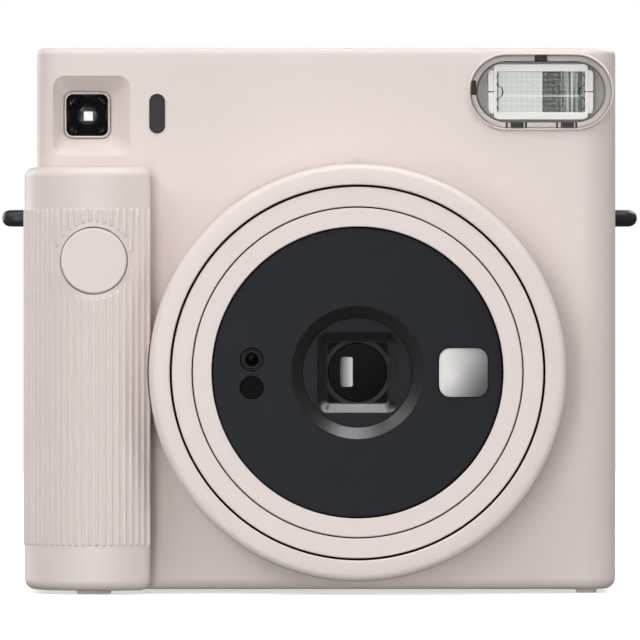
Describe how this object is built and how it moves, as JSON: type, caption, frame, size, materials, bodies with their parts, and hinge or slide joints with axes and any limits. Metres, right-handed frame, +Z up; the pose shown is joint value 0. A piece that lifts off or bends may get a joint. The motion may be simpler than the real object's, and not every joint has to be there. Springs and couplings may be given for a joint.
{
  "type": "instant camera",
  "caption": "Instant camera for square prints: ribbed grip, large turning lens ring with telescoping barrels, flash, viewfinder, film door and motor-driven rollers under a slot in the top.",
  "frame": {"origin": "middle of the bounding box, on the surface the camera stands on", "axes": "+Z up; the lens looks along -Y; +X to the right as seen from the front, with the grip on the -X side"},
  "size_m": [0.1404, 0.0576, 0.1195],
  "materials": {
    "shell": "fine satin moulding, warm chalk white",
    "grip": "satin moulding, ribbed",
    "ring": "satin moulding",
    "barrel": "satin moulding",
    "button": "satin moulding",
    "black_plastic": "black, fine grain",
    "panel": "dark satin",
    "lug": "black satin",
    "glass": "coated",
    "finder_glass": "clear",
    "smoked_window": "smoked clear moulding",
    "clear_window": "clear moulding",
    "mirror": "convex mirror",
    "steel": "bright",
    "contact": "nickel plated",
    "shutter": "black",
    "coil": "enamelled copper",
    "reflector": "bright",
    "tube": "glass tube with metal caps",
    "flash_white": "white",
    "roller": "ground",
    "gear": "natural acetal",
    "pinion": "cut",
    "motor": "zinc plated",
    "film_case": "black",
    "film": "print backs",
    "foam": "foam",
    "feet": "satin",
    "board": "green circuit board",
    "capacitor": "sleeved can",
    "cell": "sleeved cell",
    "dial": "printed",
    "lamp": "translucent amber"
  },
  "bodies": {
    "camera": {"front_cover": "shell", "rear_cover": "shell", "grip_cover": "grip", "case_screws": "steel", "base_feet": "feet", "strap_lugs": "lug", "lens_mount": "black_plastic", "dark_box": "black_plastic", "button_spring": "steel", "light_meter_window": "smoked_window", "finder_tube": "black_plastic", "finder_lenses": "finder_glass", "eyepiece_bezel": "black_plastic", "charge_lamp": "lamp", "flash_window": "clear_window", "flash_reflector": "reflector", "flash_tube": "tube", "flash_holder": "flash_white", "film_chamber": "black_plastic", "film_pack": "film_case", "film_sheets": "film", "roller_bracket": "steel", "drive_motor": "motor", "exit_slot_frame": "black_plastic", "door_hinge_pins": "steel", "battery_box": "black_plastic", "battery_cells": "cell", "battery_contacts": "contact", "circuit_boards": "board", "flash_capacitor": "capacitor", "counter_bracket": "black_plastic", "counter_window": "clear_window"},
    "control_ring": {"control_ring": "ring"},
    "outer_barrel": {"outer_barrel": "barrel"},
    "inner_barrel": {"inner_barrel": "barrel", "lens_panel": "panel", "lens_bezel": "panel", "taking_lens": "glass", "lens_cell": "black_plastic", "selfie_mirror": "mirror", "light_sensors": "panel", "shutter_plates": "shutter", "shutter_magnet": "coil"},
    "shutter_blade_left": {"shutter_blade_left": "steel"},
    "shutter_blade_right": {"shutter_blade_right": "steel"},
    "shutter_button": {"shutter_button": "button"},
    "film_claw": {"film_claw": "steel"},
    "front_roller": {"front_roller": "roller"},
    "rear_roller": {"rear_roller": "roller"},
    "idler_gear": {"idler_gear": "gear"},
    "motor_pinion": {"motor_pinion": "pinion"},
    "exit_flap": {"exit_flap": "black_plastic"},
    "film_door": {"film_door": "shell", "film_window": "smoked_window", "door_seal": "foam", "pad_springs": "steel"},
    "door_latch": {"door_latch": "black_plastic"},
    "pressure_pads": {"pressure_pads": "black_plastic"},
    "battery_door": {"battery_door": "shell"},
    "counter_dial": {"counter_dial": "dial"}
  },
  "joints": [
    {"name": "lens_ring_turn", "type": "hinge", "parent": "camera", "child": "control_ring", "pos_m": [0.00825, -0.02, 0.0484], "axis": [0, -1, 0], "range_deg": [0, 90]},
    {"name": "outer_barrel_slide", "type": "slide", "parent": "camera", "child": "outer_barrel", "axis": [0, -1, 0], "range_m": [0, 0.012]},
    {"name": "inner_barrel_slide", "type": "slide", "parent": "outer_barrel", "child": "inner_barrel", "axis": [0, -1, 0], "range_m": [0, 0.012]},
    {"name": "shutter_blade_left_swing", "type": "hinge", "parent": "inner_barrel", "child": "shutter_blade_left", "pos_m": [-0.00325, -0.0193, 0.0484], "axis": [0, 1, 0], "range_deg": [0, 50], "stiffness_Nm_per_rad": 0.0005, "springref_deg": -11.46},
    {"name": "shutter_blade_right_swing", "type": "hinge", "parent": "inner_barrel", "child": "shutter_blade_right", "pos_m": [0.01975, -0.0188, 0.0484], "axis": [0, 1, 0], "range_deg": [0, 50]},
    {"name": "shutter_button_press", "type": "slide", "parent": "camera", "child": "shutter_button", "axis": [0, 1, 0], "range_m": [0, 0.0012], "stiffness_N_per_m": 400, "springref_m": -0.001, "deforming": ["button_spring"]},
    {"name": "film_claw_slide", "type": "slide", "parent": "camera", "child": "film_claw", "axis": [0, 0, 1], "range_m": [0, 0.009], "stiffness_N_per_m": 60, "springref_m": -0.002},
    {"name": "front_roller_spin", "type": "hinge", "parent": "camera", "child": "front_roller", "pos_m": [0.00825, 0.0101, 0.1068], "axis": [1, 0, 0], "continuous": true},
    {"name": "rear_roller_spin", "type": "hinge", "parent": "camera", "child": "rear_roller", "pos_m": [0.00825, 0.0181, 0.1068], "axis": [1, 0, 0], "continuous": true},
    {"name": "idler_gear_spin", "type": "hinge", "parent": "camera", "child": "idler_gear", "pos_m": [-0.037, 0.0101, 0.0988], "axis": [1, 0, 0], "continuous": true},
    {"name": "motor_pinion_spin", "type": "hinge", "parent": "camera", "child": "motor_pinion", "pos_m": [-0.038, 0.0101, 0.0868], "axis": [1, 0, 0], "continuous": true},
    {"name": "exit_flap_swing", "type": "hinge", "parent": "camera", "child": "exit_flap", "pos_m": [0.00825, 0.0161, 0.1136], "axis": [-1, 0, 0], "range_deg": [0, 80], "stiffness_Nm_per_rad": 0.0005, "springref_deg": -11.46},
    {"name": "film_door_swing", "type": "hinge", "parent": "camera", "child": "film_door", "pos_m": [-0.0364, 0.0266, 0.0585], "axis": [0, 0, 1], "range_deg": [0, 100]},
    {"name": "door_latch_slide", "type": "slide", "parent": "film_door", "child": "door_latch", "axis": [0, 0, 1], "range_m": [0, 0.004], "stiffness_N_per_m": 150, "springref_m": -0.002},
    {"name": "pressure_pad_press", "type": "slide", "parent": "film_door", "child": "pressure_pads", "axis": [0, 1, 0], "range_m": [0, 0.002], "stiffness_N_per_m": 300, "springref_m": -0.002, "deforming": ["pad_springs"]},
    {"name": "battery_door_swing", "type": "hinge", "parent": "camera", "child": "battery_door", "pos_m": [-0.0635, 0.0223, 0.0375], "axis": [0, 0, -1], "range_deg": [0, 90]},
    {"name": "counter_dial_turn", "type": "hinge", "parent": "camera", "child": "counter_dial", "pos_m": [-0.0486, 0.024, 0.026], "axis": [0, 1, 0], "range_deg": [0, 300]}
  ],
  "couplings": [
    {"joint": "outer_barrel_slide", "follows": "lens_ring_turn", "m_per_rad": 0.007639},
    {"joint": "inner_barrel_slide", "follows": "lens_ring_turn", "m_per_rad": 0.007639},
    {"joint": "shutter_blade_right_swing", "follows": "shutter_blade_left_swing", "ratio": 1},
    {"joint": "rear_roller_spin", "follows": "front_roller_spin", "ratio": -1},
    {"joint": "idler_gear_spin", "follows": "front_roller_spin", "ratio": -1},
    {"joint": "motor_pinion_spin", "follows": "front_roller_spin", "ratio": 3}
  ]
}
